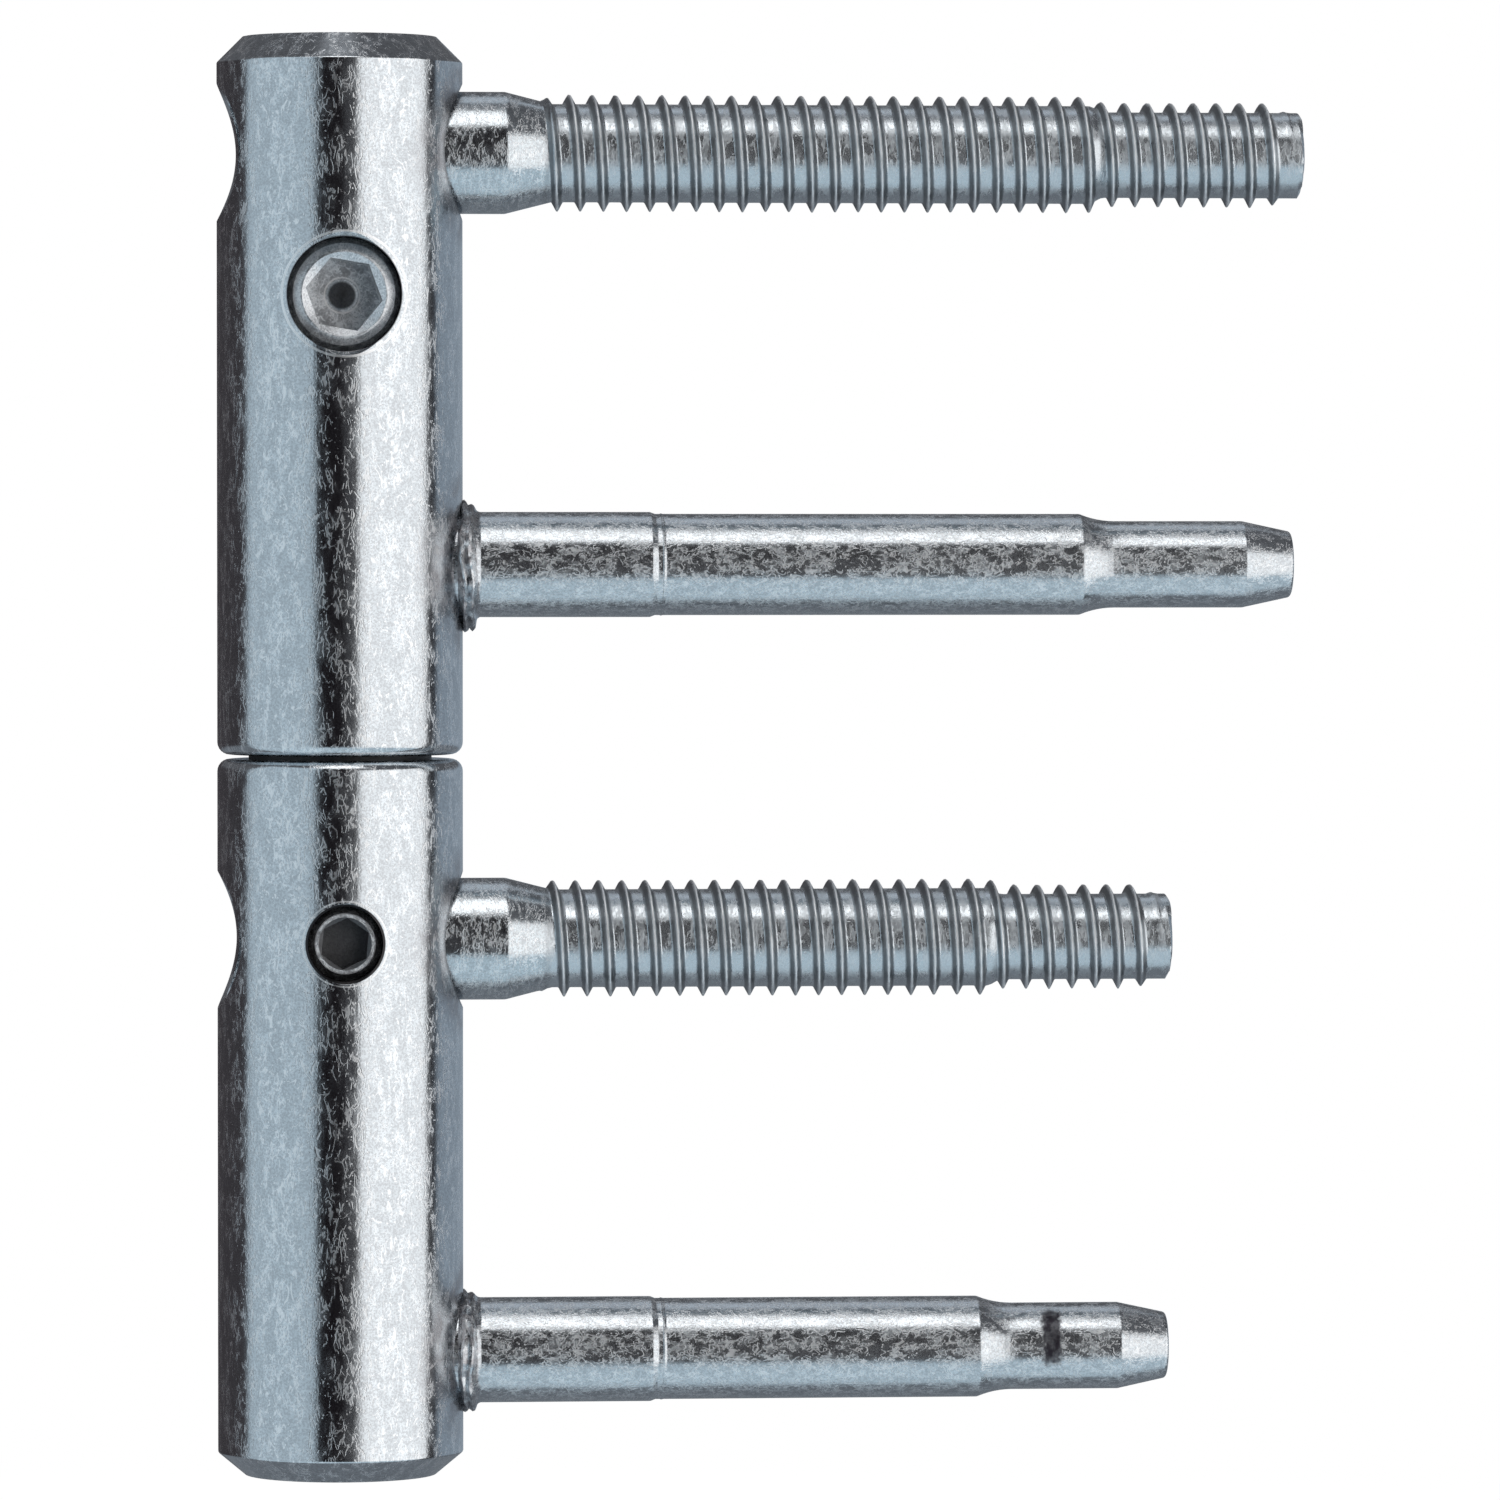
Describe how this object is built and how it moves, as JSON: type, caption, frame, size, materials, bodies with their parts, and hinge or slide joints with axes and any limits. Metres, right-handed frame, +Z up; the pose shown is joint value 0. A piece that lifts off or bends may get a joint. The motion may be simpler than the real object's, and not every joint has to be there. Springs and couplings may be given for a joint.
{
  "type": "lift off hinge",
  "caption": "Round barrel lift off hinge with welded shanks and adjustable threaded studs on one side, a height screw, and a ball bearing hinge pin inside.",
  "frame": {"origin": "centre of the lower barrel's bottom face, on the turning axis", "axes": "+Z up the turning axis, +X along the shanks and studs, -Y the side with the adjusting screws"},
  "size_m": [0.0977, 0.022, 0.1288],
  "materials": {
    "zinc_steel": "zinc plated, pale blue passivate, tumbled",
    "stud_steel": "zinc plated, pale blue passivate, rolled thread",
    "screw_steel": "zinc plated",
    "pin_steel": "ground and greased",
    "ball_steel": "polished bearing steel",
    "bush_plastic": "moulded black bearing plastic"
  },
  "bodies": {
    "lower": {"lower_barrel": "zinc_steel", "lower_shank": "zinc_steel", "hinge_pin": "pin_steel", "bearing_ball": "ball_steel"},
    "bush": {"bearing_bush": "bush_plastic"},
    "thrust": {"thrust_piece": "pin_steel"},
    "upper": {"upper_barrel": "zinc_steel", "upper_shank": "zinc_steel"},
    "height_adjuster": {"height_screw": "screw_steel"},
    "upper_stud_body": {"upper_stud": "stud_steel"},
    "upper_lock": {"upper_lock_screw": "screw_steel"},
    "lower_stud_body": {"lower_stud": "stud_steel"},
    "lower_lock": {"lower_lock_screw": "screw_steel"}
  },
  "joints": [
    {"name": "swing", "type": "hinge", "parent": "lower", "child": "bush", "pos_m": [0, 0, 0.0642], "axis": [0, 0, 1], "continuous": true},
    {"name": "lift_off", "type": "slide", "parent": "bush", "child": "thrust", "axis": [0, 0, 1], "range_m": [0, 0.04]},
    {"name": "height_lift", "type": "slide", "parent": "thrust", "child": "upper", "axis": [0, 0, 1], "range_m": [0, 0.0035]},
    {"name": "height_screw_turn", "type": "hinge", "parent": "upper", "child": "height_adjuster", "pos_m": [0, 0, 0.1056], "axis": [0, 1, 0], "range_deg": [0, 720]},
    {"name": "upper_stud_turn", "type": "hinge", "parent": "upper", "child": "upper_stud_body", "pos_m": [0, 0, 0.1185], "axis": [1, 0, 0], "continuous": true},
    {"name": "upper_lock_turn", "type": "hinge", "parent": "upper", "child": "upper_lock", "pos_m": [0, 0, 0.1185], "axis": [0, 0, -1], "range_deg": [-360, 0]},
    {"name": "lower_stud_turn", "type": "hinge", "parent": "lower", "child": "lower_stud_body", "pos_m": [0, 0, 0.048], "axis": [1, 0, 0], "continuous": true},
    {"name": "lower_lock_turn", "type": "hinge", "parent": "lower", "child": "lower_lock", "pos_m": [0, 0, 0.048], "axis": [0, 1, 0], "range_deg": [-360, 0]}
  ],
  "couplings": [
    {"joint": "height_screw_turn", "follows": "height_lift", "rad_per_m": 3590.4}
  ]
}
